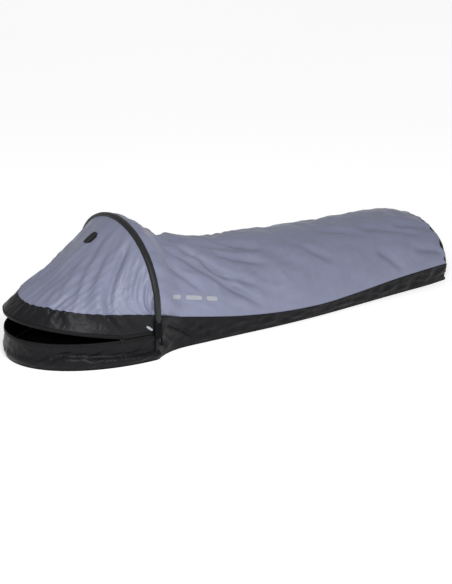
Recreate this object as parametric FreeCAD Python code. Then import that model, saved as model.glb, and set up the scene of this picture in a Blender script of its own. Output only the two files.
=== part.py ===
"""Bivy sack with one bent pole: every sub-part is a solid of its own, written to parts/.

Millimetres. +Z is up, the head end is at -X and the foot end at +X. The origin is under the middle
of the sack, on the ground. "right" is the -Y side and "left" the +Y side of a sleeper on their back.
"""

import FreeCAD, Part
import math
import os

Vector = FreeCAD.Vector

# ---------------------------------------------------------------- driving dimensions
HEAD_X = -1040.0
FOOT_SEAM_X = 945.0
FOOT_X = 985.0
HOOP_X = -562.0
HEAD_DEPTH = HOOP_X - HEAD_X
HEAD_HALF_WIDTH = 306.0

CLOTH = 1.5          # thickness that stands for one layer of fabric
SEAM_GAP = 0.8       # clearance between two panels that meet in a seam
FLARE = 12.0         # how far the tub walls lean out from floor to seam
FLOOR_THICK = 2.0

# x, half width of the floor, height of the canopy, height of the seam on the tub wall
BODY_STATIONS = [
    (-562, 306, 494, 172),
    (-500, 272, 455, 142),
    (-430, 256, 416, 128),
    (-300, 259, 372, 104),
    (-150, 266, 327, 80),
    (50, 275, 312, 62),
    (250, 274, 303, 54),
    (450, 263, 292, 62),
    (650, 251, 288, 75),
    (850, 241, 275, 82),
    (FOOT_SEAM_X, 229, 248, 80),
]

# hoop: one bent pole, a straight leg each side, two shoulder arcs and a top arc
HOOP_HALF_WIDTH = 317.3   # at the pivot
HOOP_TOP_Z = 494.0
PIVOT_Z = 109.0
LEG_LENGTH = 111.0
LEG_LEAN = 2.5       # degrees from upright
SHOULDER_TURN = 60.0  # degrees
POLE_RADIUS = 4.3
POLE_BORE = 3.0
FERRULE_RADIUS = 5.3
FERRULE_LENGTH = 64.0
CORD_RADIUS = 1.3
SLEEVE_RADIUS = 10.0
SLEEVE_BORE = 8.5

POCKET_TOP_Z = 165.0
POCKET_HALF_X = 16.0
POCKET_HALF_Y = 6.5
ANCHOR_LOW_Z = 88.0
ANCHOR_HEIGHT = 24.0
ANCHOR_WIDTH = 22.0
ANCHOR_THICK = 3.0

LIP_Z = 97.0         # top of the head wall's fabric
TAPE_HEIGHT = 9.5
COIL_HEIGHT = 3.0
RIM_Z = 112.0        # lower edge of the hood's zip where the zip is closed
ZIP_OPEN_X = -700.0  # the zip is closed behind this point
RIM_RISE = 0.19      # rise of the open rim per unit of length ahead of it
BAND_TOP_DEPTH = 423.0
BAND_TOP_Z = 190.0
BAND_TOP_RISE = 0.165

CANOPY_SPLIT_X = -240.0
WALL_START_X = HOOP_X + 12.0
FOOT_PANEL_X = FOOT_SEAM_X + 1.0
END_HALF_WIDTH = 150.0
END_TOP_Z = 160.0
END_STEPS = 5        # arches that the rounded foot end runs through
ARCH_POINTS = 13


# ---------------------------------------------------------------- curves and skins
def body_at(x):
    """Half width, canopy height and seam height at x, a smooth curve through the stations."""
    last = len(BODY_STATIONS) - 1
    i = 0
    while i < last - 1 and x > BODY_STATIONS[i + 1][0]:
        i += 1
    before = BODY_STATIONS[max(i - 1, 0)]
    start = BODY_STATIONS[i]
    end = BODY_STATIONS[i + 1]
    after = BODY_STATIONS[min(i + 2, last)]
    span = end[0] - start[0]
    u = (x - start[0]) / span
    values = []
    for k in (1, 2, 3):
        slope_in = (end[k] - before[k]) / (end[0] - before[0]) * span
        slope_out = (after[k] - start[k]) / (after[0] - start[0]) * span
        rise = end[k] - start[k]
        value = start[k] + u * slope_in
        value += u * u * (3 * rise - 2 * slope_in - slope_out)
        value += u * u * u * (slope_in + slope_out - 2 * rise)
        values.append(value)
    return values


def spline(points):
    curve = Part.BSplineCurve()
    curve.interpolate([Vector(*p) for p in points])
    return curve.toShape()


def line(a, b):
    return Part.makeLine(Vector(*a), Vector(*b))


def band_wire(outer, inner):
    """Closed section of a thin skin between an outer and an inner curve."""
    edges = [
        spline(outer),
        line(outer[-1], inner[-1]),
        spline(inner[::-1]),
        line(inner[0], outer[0]),
    ]
    return Part.Wire(edges)


def inward(points, distance):
    """The points of a section at one x, moved towards the inside of its arch."""
    moved = []
    for i, (x, y, z) in enumerate(points):
        a = points[max(i - 1, 0)]
        b = points[min(i + 1, len(points) - 1)]
        dy = b[1] - a[1]
        dz = b[2] - a[2]
        length = math.hypot(dy, dz)
        moved.append((x, y + distance * dz / length, z - distance * dy / length))
    return moved


def arch_inside(points, distance):
    """The arch drawn in by distance, with its two feet still at their own level."""
    moved = inward(points, distance)
    for i in (0, -1):
        moved[i] = (moved[i][0], moved[i][1], points[i][2])
    return moved


def loft(wires, ruled=False):
    return Part.makeLoft(wires, True, ruled)


def side_name(side):
    return "left" if side > 0 else "right"


# ---------------------------------------------------------------- the hoop's line
def hoop_radii():
    """Radii of the shoulder and top arcs that close the arch at its width and height."""
    a = math.radians(LEG_LEAN)
    b = math.radians(LEG_LEAN + SHOULDER_TURN)
    across = HOOP_HALF_WIDTH - LEG_LENGTH * math.sin(a)
    up = HOOP_TOP_Z - PIVOT_Z - LEG_LENGTH * math.cos(a)
    m = (math.cos(a) - math.cos(b), math.cos(b), math.sin(b) - math.sin(a), 1 - math.sin(b))
    det = m[0] * m[3] - m[1] * m[2]
    return (across * m[3] - m[1] * up) / det, (m[0] * up - across * m[2]) / det


SHOULDER_RADIUS, TOP_RADIUS = hoop_radii()


def hoop_pieces():
    """(length, start y, start z, heading, radius) of each run, from the right foot to the left."""
    shoulder_end = LEG_LEAN + SHOULDER_TURN
    plan = [
        (LEG_LEAN, LEG_LEAN, None),
        (LEG_LEAN, shoulder_end, SHOULDER_RADIUS),
        (shoulder_end, 180 - shoulder_end, TOP_RADIUS),
        (180 - shoulder_end, 180 - LEG_LEAN, SHOULDER_RADIUS),
        (180 - LEG_LEAN, 180 - LEG_LEAN, None),
    ]
    y = -HOOP_HALF_WIDTH
    z = PIVOT_Z
    pieces = []
    for start, end, radius in plan:
        a = math.radians(start)
        b = math.radians(end)
        length = LEG_LENGTH if radius is None else radius * (b - a)
        pieces.append((length, y, z, a, radius))
        if radius is None:
            y += length * math.sin(a)
            z += length * math.cos(a)
        else:
            y += radius * (math.cos(a) - math.cos(b))
            z += radius * (math.sin(b) - math.sin(a))
    return pieces


HOOP = hoop_pieces()
HOOP_LENGTH = sum(piece[0] for piece in HOOP)


def hoop_point(s):
    """y, z and heading at the length s along the hoop."""
    for length, y, z, heading, radius in HOOP:
        if s <= length or (length, y, z, heading, radius) == HOOP[-1]:
            break
        s -= length
    if radius is None:
        return y + s * math.sin(heading), z + s * math.cos(heading), heading
    end = heading + s / radius
    y += radius * (math.cos(heading) - math.cos(end))
    z += radius * (math.sin(end) - math.sin(heading))
    return y, z, end


def hoop_tube(start, end, radius, bore):
    """A round tube along the hoop's line, or a solid rod when bore is zero."""
    solids = []
    at = 0.0
    for length, _, _, _, arc_radius in HOOP:
        low = max(start, at)
        high = min(end, at + length)
        at += length
        if high - low < 0.01:
            continue
        y, z, heading = hoop_point(low + 1e-6)
        centre = Vector(HOOP_X, y, z)
        forward = Vector(0, math.sin(heading), math.cos(heading))
        rods = []
        for r in (radius, bore) if bore else (radius,):
            face = Part.Face(Part.Wire(Part.makeCircle(r, centre, forward)))
            if arc_radius is None:
                rods.append(face.extrude(forward * (high - low)))
            else:
                pivot = centre + Vector(0, math.cos(heading), -math.sin(heading)) * arc_radius
                turn = math.degrees((high - low) / arc_radius)
                rods.append(face.revolve(pivot, Vector(-1, 0, 0), turn))
        solids.append(rods[0].cut(rods[1]) if bore else rods[0])
    whole = solids[0]
    for solid in solids[1:]:
        whole = whole.fuse(solid)
    return whole.removeSplitter()


def hoop_arch(x, low_z):
    """Points of the hoop's line above low_z, put at x: the edge of the fabric beside the hoop."""
    s_low = (low_z - PIVOT_Z) / math.cos(math.radians(LEG_LEAN))
    step = (HOOP_LENGTH - 2 * s_low) / (ARCH_POINTS - 1)
    points = []
    for i in range(ARCH_POINTS):
        y, z, _ = hoop_point(s_low + i * step)
        points.append((x, y, z))
    return points


# ---------------------------------------------------------------- arch of the canopy
def canopy_section(x):
    """Arch of the canopy at x: half an ellipse that stands on the two seams."""
    half, top, seam = body_at(x)
    low = seam + SEAM_GAP
    points = []
    for i in range(ARCH_POINTS):
        u = math.pi * i / (ARCH_POINTS - 1)
        points.append((x, -(half + FLARE) * math.cos(u), low + (top - low) * math.sin(u)))
    return points


# ---------------------------------------------------------------- tub
def side_line(side, end_x):
    xs = [HOOP_X, -500, -430, -300, -150, 50, 250, 450, 650, 850, end_x]
    return [(x, side * body_at(x)[0], 0) for x in xs]


def floor_panel():
    """The floor: a half ellipse round the head, narrow shoulders and a rounded foot."""
    foot_half = body_at(FOOT_SEAM_X)[0]
    ellipse = Part.Ellipse(Vector(HOOP_X, 0, 0), HEAD_DEPTH, HEAD_HALF_WIDTH)
    head = Part.ArcOfEllipse(ellipse, math.pi / 2, 3 * math.pi / 2).toShape()
    edges = [head]
    for side in (1, -1):
        edges.append(spline(side_line(side, FOOT_SEAM_X)))
        corner = Part.Arc(
            Vector(FOOT_SEAM_X, side * foot_half, 0),
            Vector(FOOT_SEAM_X + 29, side * 0.87 * foot_half, 0),
            Vector(FOOT_X, side * END_HALF_WIDTH, 0),
        )
        edges.append(corner.toShape())
    edges.append(line((FOOT_X, END_HALF_WIDTH, 0), (FOOT_X, -END_HALF_WIDTH, 0)))
    outline = Part.Wire(Part.__sortEdges__(edges))
    return Part.Face(outline).extrude(Vector(0, 0, FLOOR_THICK))


def tub_wall(side):
    """One long side wall of the tub, from the hoop to the foot panel."""
    wires = []
    for x in (WALL_START_X, -500, -430, -335, -240, -150, -50, 50, 250, 450, 650, 850, FOOT_SEAM_X):
        half, _, seam = body_at(x)
        low = FLOOR_THICK + 0.4
        top = seam - SEAM_GAP
        flare = FLARE * min(1.0, (x - WALL_START_X) / 100.0)
        corners = [
            (x, side * half, low),
            (x, side * (half + flare), top),
            (x, side * (half + flare - CLOTH), top),
            (x, side * (half - CLOTH), low),
        ]
        wires.append(Part.makePolygon([Vector(*p) for p in corners + corners[:1]]))
    return loft(wires)


def foot_solid(inset):
    """The space inside the rounded foot end, drawn in by inset, as a solid block."""
    half, top, _ = body_at(FOOT_SEAM_X)
    low = FLOOR_THICK + 0.4
    rim = [(0, -half, low)] + canopy_section(FOOT_SEAM_X) + [(0, half, low)]
    wires = []
    for i in range(END_STEPS):
        a = math.pi / 2 * i / (END_STEPS - 1)
        x = FOOT_PANEL_X + (FOOT_X - FOOT_PANEL_X - inset) * math.sin(a)
        across = 1 + (END_HALF_WIDTH / (half + FLARE) - 1) * (1 - math.cos(a))
        up = 1 + (END_TOP_Z / top - 1) * (1 - math.cos(a))
        points = [(x, y * across, low + (z - low) * up) for _, y, z in rim]
        if inset:
            points = arch_inside(points, inset)
        wires.append(Part.Wire([spline(points), line(points[-1], points[0])]))
    return loft(wires, ruled=True)


def foot_end_panel():
    """Black end of the sack: a shallow cap that closes the foot."""
    return foot_solid(0).cut(foot_solid(CLOTH)).removeSplitter()


def seam_tape(side):
    """Tape bonded inside over the seam between the tub wall and the canopy."""
    wires = []
    for x in (-420, -300, -150, 50, 250, 450, 650, 850, FOOT_SEAM_X - 20):
        half, _, seam = body_at(x)
        y = side * (half + FLARE - CLOTH - 2.2)
        corners = [
            (x, y, seam - 8),
            (x, y, seam + 8),
            (x, y - side * 0.6, seam + 8),
            (x, y - side * 0.6, seam - 8),
        ]
        wires.append(Part.makePolygon([Vector(*p) for p in corners + corners[:1]]))
    return loft(wires)


# ---------------------------------------------------------------- canopy
def canopy(front):
    """The canopy over the body: its front part moves with the hoop, its rear part stays."""
    if front:
        sections = [hoop_arch(WALL_START_X - 1, body_at(HOOP_X)[2])]
        stations = (-500, -430, -335, CANOPY_SPLIT_X - SEAM_GAP)
    else:
        sections = []
        stations = (CANOPY_SPLIT_X, -150, -50, 50, 250, 450, 650, 850, FOOT_SEAM_X)
    for x in stations:
        sections.append(canopy_section(x))
    return loft([band_wire(points, arch_inside(points, CLOTH)) for points in sections])


# ---------------------------------------------------------------- head wall, zip and hood
def level(depth, z, bend_x, rise):
    """A line round the head: an ellipse in plan that climbs ahead of bend_x."""
    return {"depth": depth, "z": z, "bend_x": bend_x, "rise": rise}


def level_points(lvl, inset, from_t, to_t):
    points = []
    for i in range(ARCH_POINTS):
        t = from_t + (to_t - from_t) * i / (ARCH_POINTS - 1)
        x = HOOP_X - (lvl["depth"] - inset) * math.cos(t)
        y = (HEAD_HALF_WIDTH - inset) * math.sin(t)
        points.append((x, y, lvl["z"] + lvl["rise"] * (lvl["bend_x"] - x)))
    return points


def level_angle(lvl, x):
    """Plan angle at which a level passes x, on the left side."""
    return math.acos((HOOP_X - x) / lvl["depth"])


def head_strip(low, high, back_x, side=0, front_x=None, thick=CLOTH):
    """A strip of the head end between two levels.

    With side 0 it runs round the head from one side's back_x to the other's; with a side it is
    the short stretch of that side between front_x and back_x.
    """
    wires = []
    for lvl in (low, high):
        back = level_angle(lvl, back_x)
        if side:
            front = level_angle(lvl, front_x)
            span = (side * front, side * back)
        else:
            span = (-back, back)
        outer = level_points(lvl, 0, *span)
        inner = level_points(lvl, thick, *span)
        wires.append(band_wire(outer, inner))
    return loft(wires, ruled=True)


def flat(z):
    return level(HEAD_DEPTH, z, HOOP_X, 0.0)


def rim(z):
    """Level of the open rim at the height z above its closed stretch."""
    return level(HEAD_DEPTH, z, ZIP_OPEN_X, RIM_RISE)


BAND_TOP = level(BAND_TOP_DEPTH, BAND_TOP_Z, HOOP_X - 16, BAND_TOP_RISE)
PANEL_LOW = level(BAND_TOP_DEPTH - 1, BAND_TOP_Z + 1.2, HOOP_X - 16, BAND_TOP_RISE)
HEAD_END_X = HOOP_X + 10.0
TAPE_TOP_Z = LIP_Z + 0.4 + TAPE_HEIGHT
COIL_TOP_Z = TAPE_TOP_Z + 0.2 + COIL_HEIGHT
RIM_COIL_TOP = RIM_Z + COIL_HEIGHT
RIM_TAPE_TOP = RIM_COIL_TOP + 0.2 + TAPE_HEIGHT
RIM_BACK_X = ZIP_OPEN_X - 13.0
ENDS_FRONT_X = ZIP_OPEN_X - 12.0
ENDS_BACK_X = HOOP_X - 14.0


def head_wall():
    """Low front wall of the tub, round the head."""
    wires = []
    for z in (FLOOR_THICK + 0.4, LIP_Z):
        outer = level_points(flat(z), 0, -math.pi / 2, math.pi / 2)
        inner = level_points(flat(z), CLOTH, -math.pi / 2, math.pi / 2)
        back = HEAD_END_X
        outer = [(back, outer[0][1], z)] + outer + [(back, outer[-1][1], z)]
        inner = [(back, inner[0][1], z)] + inner + [(back, inner[-1][1], z)]
        wires.append(band_wire(outer, inner))
    return loft(wires, ruled=True)


def lower_zip_tape():
    return head_strip(flat(LIP_Z + 0.4), flat(TAPE_TOP_Z), ENDS_BACK_X)


def lower_zip_coil():
    return head_strip(flat(TAPE_TOP_Z + 0.2), flat(COIL_TOP_Z), ENDS_BACK_X, thick=2.2)


def upper_zip_coil():
    return head_strip(rim(RIM_Z), rim(RIM_COIL_TOP), RIM_BACK_X, thick=2.2)


def upper_zip_tape():
    return head_strip(rim(RIM_COIL_TOP + 0.2), rim(RIM_TAPE_TOP), RIM_BACK_X)


def hood_band():
    """Black lower edge of the hood, ahead of the closed stretch of the zip."""
    return head_strip(rim(RIM_TAPE_TOP + 0.4), BAND_TOP, RIM_BACK_X)


def closed_zip(side):
    """Upper half of the zip beside the hoop, where it stays closed."""
    return head_strip(flat(RIM_Z), flat(RIM_TAPE_TOP), ENDS_BACK_X, side, ENDS_FRONT_X)


def hood_band_end(side):
    low = flat(RIM_TAPE_TOP + 0.4)
    return head_strip(low, BAND_TOP, ENDS_BACK_X, side, ENDS_FRONT_X)


def hood_panel():
    """Taut hood from the band's seam up and back to the hoop."""
    back = level_angle(PANEL_LOW, ENDS_BACK_X)
    low_outer = level_points(PANEL_LOW, 0, -back, back)
    low_inner = level_points(PANEL_LOW, CLOTH, -back, back)
    arch = hoop_arch(HOOP_X - SLEEVE_RADIUS - 1, BAND_TOP_Z + 6)
    return loft([band_wire(low_outer, low_inner), band_wire(arch, inward(arch, CLOTH))], ruled=True)


# ---------------------------------------------------------------- hoop
POLE_START = 14.0    # where the tube starts, above its tip's collar
SLEEVE_START = POCKET_TOP_Z - PIVOT_Z + 2.0
JOINT_AT = LEG_LENGTH + SHOULDER_RADIUS * math.radians(0.45 * SHOULDER_TURN)


def pole_section(name):
    """One of the three tubes of the pole; they meet end to end inside the ferrules."""
    gap = 0.2
    spans = {
        "right": (POLE_START, JOINT_AT - gap),
        "top": (JOINT_AT + gap, HOOP_LENGTH - JOINT_AT - gap),
        "left": (HOOP_LENGTH - JOINT_AT + gap, HOOP_LENGTH - POLE_START),
    }
    start, end = spans[name]
    return hoop_tube(start, end, POLE_RADIUS, POLE_BORE)


def pole_ferrule(side):
    middle = JOINT_AT if side < 0 else HOOP_LENGTH - JOINT_AT
    half = FERRULE_LENGTH / 2
    return hoop_tube(middle - half, middle + half, FERRULE_RADIUS, POLE_RADIUS + 0.15)


def leg_frame(side, solid):
    """Put a solid that stands on the pivot, upright at the origin, onto a leg of the hoop."""
    solid.rotate(Vector(0, 0, 0), Vector(1, 0, 0), side * LEG_LEAN)
    solid.translate(Vector(HOOP_X, side * HOOP_HALF_WIDTH, PIVOT_Z))
    return solid


def pole_tip(side):
    """Moulded tip that plugs the tube's end and stands in the pocket."""
    foot = 9.0
    stem = Part.makeCylinder(POLE_RADIUS, foot + POLE_START - 0.3, Vector(0, 0, -foot))
    ball = Part.makeSphere(POLE_RADIUS, Vector(0, 0, -foot))
    plug = Part.makeCylinder(POLE_BORE - 0.15, 12.0, Vector(0, 0, POLE_START - 0.5))
    return leg_frame(side, stem.fuse(ball).fuse(plug).removeSplitter())


def shock_cord():
    start = POLE_START + 12.0
    return hoop_tube(start, HOOP_LENGTH - start, CORD_RADIUS, 0)


def pole_sleeve():
    return hoop_tube(SLEEVE_START, HOOP_LENGTH - SLEEVE_START, SLEEVE_RADIUS, SLEEVE_BORE)


def pocket_body(half_x, half_y, top):
    box = Part.makeBox(2 * half_x, 2 * half_y, top, Vector(-half_x, -half_y, 0))
    toe = Part.makeCylinder(half_x, 2 * half_y, Vector(0, -half_y, 0), Vector(0, 1, 0))
    return box.fuse(toe).removeSplitter()


def pole_pocket(side):
    """Flat webbing cup that takes the pole's tip; its toe is round about the pivot."""
    height = POCKET_TOP_Z - PIVOT_Z
    outer = pocket_body(POCKET_HALF_X, POCKET_HALF_Y, height)
    inner = pocket_body(POCKET_HALF_X - CLOTH, POCKET_HALF_Y - CLOTH, height + 5)
    return leg_frame(side, outer.cut(inner))


def pole_anchor(side):
    """Webbing patch sewn on the tub's corner, behind the toe of the pocket that it carries."""
    near = HEAD_HALF_WIDTH + 1.0
    low_y = near if side > 0 else -near - ANCHOR_THICK
    corner = Vector(HOOP_X - ANCHOR_WIDTH / 2 - 2, low_y, ANCHOR_LOW_Z)
    return Part.makeBox(ANCHOR_WIDTH, ANCHOR_THICK, ANCHOR_HEIGHT, corner)


LOOP_X = HOOP_X + 13.0
LOOP_Y = 318.0
LOOP_TOP_Z = 95.0
LOOP_WIDTH = 8.0
LOOP_THICK = 3.0
EYE_RADIUS = 4.5
EYE_WALL = 1.6
STRAP_LENGTH = 22.0


def stake_loop(side):
    """Folded webbing that hangs below the pocket's corner, with a round eye at its lower end."""
    low_y = side * LOOP_Y - LOOP_WIDTH / 2
    eye_z = LOOP_TOP_Z - STRAP_LENGTH - EYE_RADIUS
    axis = Vector(0, 1, 0)
    start = Vector(LOOP_X, low_y, eye_z)
    corner = Vector(LOOP_X - LOOP_THICK / 2, low_y, eye_z + EYE_RADIUS)
    strap = Part.makeBox(LOOP_THICK, LOOP_WIDTH, STRAP_LENGTH, corner)
    eye = Part.makeCylinder(EYE_RADIUS + EYE_WALL, LOOP_WIDTH, start, axis)
    hole = Part.makeCylinder(EYE_RADIUS, LOOP_WIDTH, start, axis)
    return strap.fuse(eye).cut(hole).removeSplitter()


# ---------------------------------------------------------------- zip hardware
SLIDER_LENGTH = 14.0
SLIDER_HEIGHT = 11.0
SLIDER_THICK = 2.6
SLIDER_FACE_Y = -4.6   # outer face of the slider, from the zip's line
PIN_RADIUS = 0.9
PIN_Y = SLIDER_FACE_Y - 2.3
PIN_Z = 2.5
LUG_GAP = 5.6


def slider_frame(solid):
    """Put a solid made at the origin, with -Y facing out, onto the zip's right side."""
    t = level_angle(flat(RIM_Z), ZIP_OPEN_X - 10)
    turn = math.degrees(math.atan2(-HEAD_HALF_WIDTH * math.cos(t), HEAD_DEPTH * math.sin(t)))
    solid.rotate(Vector(0, 0, 0), Vector(0, 0, 1), turn)
    x = HOOP_X - HEAD_DEPTH * math.cos(t)
    y = -HEAD_HALF_WIDTH * math.sin(t)
    solid.translate(Vector(x, y, RIM_Z))
    return solid


def zip_slider():
    """Slider plate on the zip's outer face, with two lugs and the pin that carries the pull."""
    base = Vector(-SLIDER_LENGTH / 2, SLIDER_FACE_Y, -SLIDER_HEIGHT / 2)
    body = Part.makeBox(SLIDER_LENGTH, SLIDER_THICK, SLIDER_HEIGHT, base)
    body = body.makeFillet(1.0, body.Edges)
    for end in (-1, 1):
        low_x = end * (LUG_GAP / 2 + 0.6) - 0.6
        lug = Part.makeBox(1.2, 4.0, 3.0, Vector(low_x, SLIDER_FACE_Y - 3.6, PIN_Z - 1.5))
        body = body.fuse(lug)
    reach = LUG_GAP + 2.0
    pin = Part.makeCylinder(PIN_RADIUS, reach, Vector(-reach / 2, PIN_Y, PIN_Z), Vector(1, 0, 0))
    return slider_frame(body.fuse(pin).removeSplitter())


def zip_pull():
    """Flat pull that hangs from the slider's pin."""
    width = LUG_GAP - 0.6
    length = 27.0
    thick = 1.2
    start = Vector(-width / 2, PIN_Y, PIN_Z)
    eye = Part.makeCylinder(PIN_RADIUS + 0.9, width, start, Vector(1, 0, 0))
    tab = Part.makeBox(width, thick, length, Vector(-width / 2, PIN_Y - thick / 2, PIN_Z - length - 1))
    hole = Part.makeCylinder(PIN_RADIUS + 0.08, width, start, Vector(1, 0, 0))
    return slider_frame(eye.fuse(tab).cut(hole).removeSplitter())


def zip_end_stop(side):
    """Stitched stop at one end of the lower coil."""
    y = side * (HEAD_HALF_WIDTH - 0.5) - 1.0
    return Part.makeBox(4, 2, 12, Vector(ENDS_BACK_X + 2, y, TAPE_TOP_Z - 8))


# ---------------------------------------------------------------- write every node
def nodes():
    made = {
        "floor_panel": floor_panel(),
        "head_wall": head_wall(),
        "foot_end_panel": foot_end_panel(),
        "canopy_front": canopy(True),
        "canopy_rear": canopy(False),
        "lower_zip_tape": lower_zip_tape(),
        "lower_zip_coil": lower_zip_coil(),
        "upper_zip_tape": upper_zip_tape(),
        "upper_zip_coil": upper_zip_coil(),
        "zip_slider": zip_slider(),
        "zip_pull": zip_pull(),
        "hood_band": hood_band(),
        "hood_panel": hood_panel(),
        "pole_sleeve": pole_sleeve(),
        "pole_section_right": pole_section("right"),
        "pole_section_top": pole_section("top"),
        "pole_section_left": pole_section("left"),
        "shock_cord": shock_cord(),
    }
    for side in (1, -1):
        name = side_name(side)
        made["tub_wall_" + name] = tub_wall(side)
        made["seam_tape_" + name] = seam_tape(side)
        made["closed_zip_" + name] = closed_zip(side)
        made["zip_end_stop_" + name] = zip_end_stop(side)
        made["hood_band_end_" + name] = hood_band_end(side)
        made["pole_ferrule_" + name] = pole_ferrule(side)
        made["pole_tip_" + name] = pole_tip(side)
        made["pole_pocket_" + name] = pole_pocket(side)
        made["pole_anchor_" + name] = pole_anchor(side)
        made["stake_loop_" + name] = stake_loop(side)
    return made


os.makedirs("parts", exist_ok=True)
for node, shape in nodes().items():
    valid = shape.isValid()
    box = shape.BoundBox
    print(
        f"{node:22s} valid={valid} solids={len(shape.Solids)} volume={shape.Volume / 1000:.1f} cm3",
        f"x {box.XMin:.1f}..{box.XMax:.1f}",
        f"y {box.YMin:.1f}..{box.YMax:.1f}",
        f"z {box.ZMin:.1f}..{box.ZMax:.1f}",
    )
    shape.exportStep(f"parts/{node}.step")
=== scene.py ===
"""Bivy sack with one bent pole: the looks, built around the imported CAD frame.

Metres. +Z is up, the head end is at -X and the foot end at +X. "right" is the -Y side and "left"
the +Y side of a sleeper on their back, as in the part's source.
"""

import math

import bpy
import numpy as np
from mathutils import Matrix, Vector, noise
from mathutils.bvhtree import BVHTree


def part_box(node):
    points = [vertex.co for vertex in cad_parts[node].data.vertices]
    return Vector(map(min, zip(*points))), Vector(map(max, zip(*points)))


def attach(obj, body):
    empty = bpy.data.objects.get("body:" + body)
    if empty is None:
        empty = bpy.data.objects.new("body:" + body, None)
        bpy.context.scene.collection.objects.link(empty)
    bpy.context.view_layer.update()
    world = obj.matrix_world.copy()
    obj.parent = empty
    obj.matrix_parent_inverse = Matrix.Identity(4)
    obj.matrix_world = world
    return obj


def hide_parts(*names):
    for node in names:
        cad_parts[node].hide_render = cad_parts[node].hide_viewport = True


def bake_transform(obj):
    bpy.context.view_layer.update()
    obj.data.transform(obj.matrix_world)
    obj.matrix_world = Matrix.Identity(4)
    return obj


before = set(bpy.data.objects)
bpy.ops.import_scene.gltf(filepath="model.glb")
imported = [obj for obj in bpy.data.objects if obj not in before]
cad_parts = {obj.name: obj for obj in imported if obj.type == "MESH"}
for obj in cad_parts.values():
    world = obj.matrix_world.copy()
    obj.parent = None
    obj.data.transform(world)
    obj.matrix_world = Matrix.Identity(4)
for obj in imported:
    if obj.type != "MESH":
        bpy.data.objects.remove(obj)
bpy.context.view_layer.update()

# ---- dimensions shared with the part
HOOP_X = -0.562
HEAD_DEPTH = 0.478
HEAD_HALF_WIDTH = 0.306
FOOT_X = 0.985
FOOT_SEAM_X = 0.945
FLARE = 0.012

# x, half width of the floor, height of the canopy, height of the seam on the tub wall
BODY_STATIONS = np.array([
    (-0.562, 0.306, 0.494, 0.176),
    (-0.500, 0.272, 0.455, 0.149),
    (-0.430, 0.256, 0.416, 0.135),
    (-0.300, 0.259, 0.372, 0.109),
    (-0.150, 0.266, 0.327, 0.083),
    (0.050, 0.275, 0.312, 0.062),
    (0.250, 0.274, 0.303, 0.054),
    (0.450, 0.263, 0.292, 0.062),
    (0.650, 0.251, 0.288, 0.075),
    (0.850, 0.241, 0.275, 0.082),
    (FOOT_SEAM_X, 0.229, 0.248, 0.080),
])
END_HALF_WIDTH = 0.150
END_TOP_Z = 0.160

HOOP_HALF_WIDTH = 0.3173
HOOP_TOP_Z = 0.494
PIVOT_Z = 0.109
LEG_LENGTH = 0.111
LEG_LEAN = math.radians(2.5)
SHOULDER_TURN = math.radians(60)
POCKET_TOP_Z = 0.165

LIP_Z = 0.097
RIM_Z = 0.112
ZIP_OPEN_X = -0.700
RIM_RISE = 0.19
RIM_TAPE_TOP = 0.1247
BAND_TOP_DEPTH = 0.423
BAND_TOP_Z = 0.190
BAND_TOP_RISE = 0.148
LOOP_X = HOOP_X + 0.013
LOOP_Y = 0.318

# ---- dimensions of the looks
CLOTH = 0.0012             # thickness that a visible layer of cloth gets
SLEEVE_HALF_WIDTH = 0.0128
SLEEVE_HALF_THICK = 0.0088
SIM_FRAMES = 34
HOOP_EASE = 0.144          # how far behind the hoop the canopy takes to leave the hoop's line
EDGE_HALF_WIDTH = 0.3055   # the canopy's half width at its edge, where it passes the sleeve
FLOOR_GAP = 0.002          # height of the walls' lower edges
STITCH_PITCH = 0.0042
STITCH_WIDTH = 0.0007
SIDES = (("right", -1), ("left", 1))
X_AXIS = np.array((1.0, 0.0, 0.0))
Z_AXIS = np.array((0.0, 0.0, 1.0))


# ---- the shape of the sack
def body_at(x):
    """Half width, canopy height and seam height at x."""
    last = len(BODY_STATIONS) - 1
    i = 0
    while i < last - 1 and x > BODY_STATIONS[i + 1][0]:
        i += 1
    before = BODY_STATIONS[max(i - 1, 0)]
    start = BODY_STATIONS[i]
    end = BODY_STATIONS[i + 1]
    after = BODY_STATIONS[min(i + 2, last)]
    span = end[0] - start[0]
    u = (x - start[0]) / span
    slope_in = (end - before) / (end[0] - before[0]) * span
    slope_out = (after - start) / (after[0] - start[0]) * span
    rise = end - start
    value = start + u * slope_in
    value += u * u * (3 * rise - 2 * slope_in - slope_out)
    value += u * u * u * (slope_in + slope_out - 2 * rise)
    return value[1:].tolist()


def smooth(t):
    t = min(1.0, max(0.0, t))
    return t * t * (3 - 2 * t)


def hoop_runs():
    """(length, start y, start z, heading, radius) of each run, from the right foot to the left."""
    a = LEG_LEAN
    b = LEG_LEAN + SHOULDER_TURN
    across = HOOP_HALF_WIDTH - LEG_LENGTH * math.sin(a)
    up = HOOP_TOP_Z - PIVOT_Z - LEG_LENGTH * math.cos(a)
    m = (math.cos(a) - math.cos(b), math.cos(b), math.sin(b) - math.sin(a), 1 - math.sin(b))
    det = m[0] * m[3] - m[1] * m[2]
    shoulder = (across * m[3] - m[1] * up) / det
    top = (m[0] * up - across * m[2]) / det
    plan = [
        (a, a, None),
        (a, b, shoulder),
        (b, math.pi - b, top),
        (math.pi - b, math.pi - a, shoulder),
        (math.pi - a, math.pi - a, None),
    ]
    y = -HOOP_HALF_WIDTH
    z = PIVOT_Z
    runs = []
    for start, end, radius in plan:
        length = LEG_LENGTH if radius is None else radius * (end - start)
        runs.append((length, y, z, start, radius))
        if radius is None:
            y += length * math.sin(start)
            z += length * math.cos(start)
        else:
            y += radius * (math.cos(start) - math.cos(end))
            z += radius * (math.sin(end) - math.sin(start))
    return runs


HOOP = hoop_runs()
HOOP_LENGTH = sum(run[0] for run in HOOP)


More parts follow.
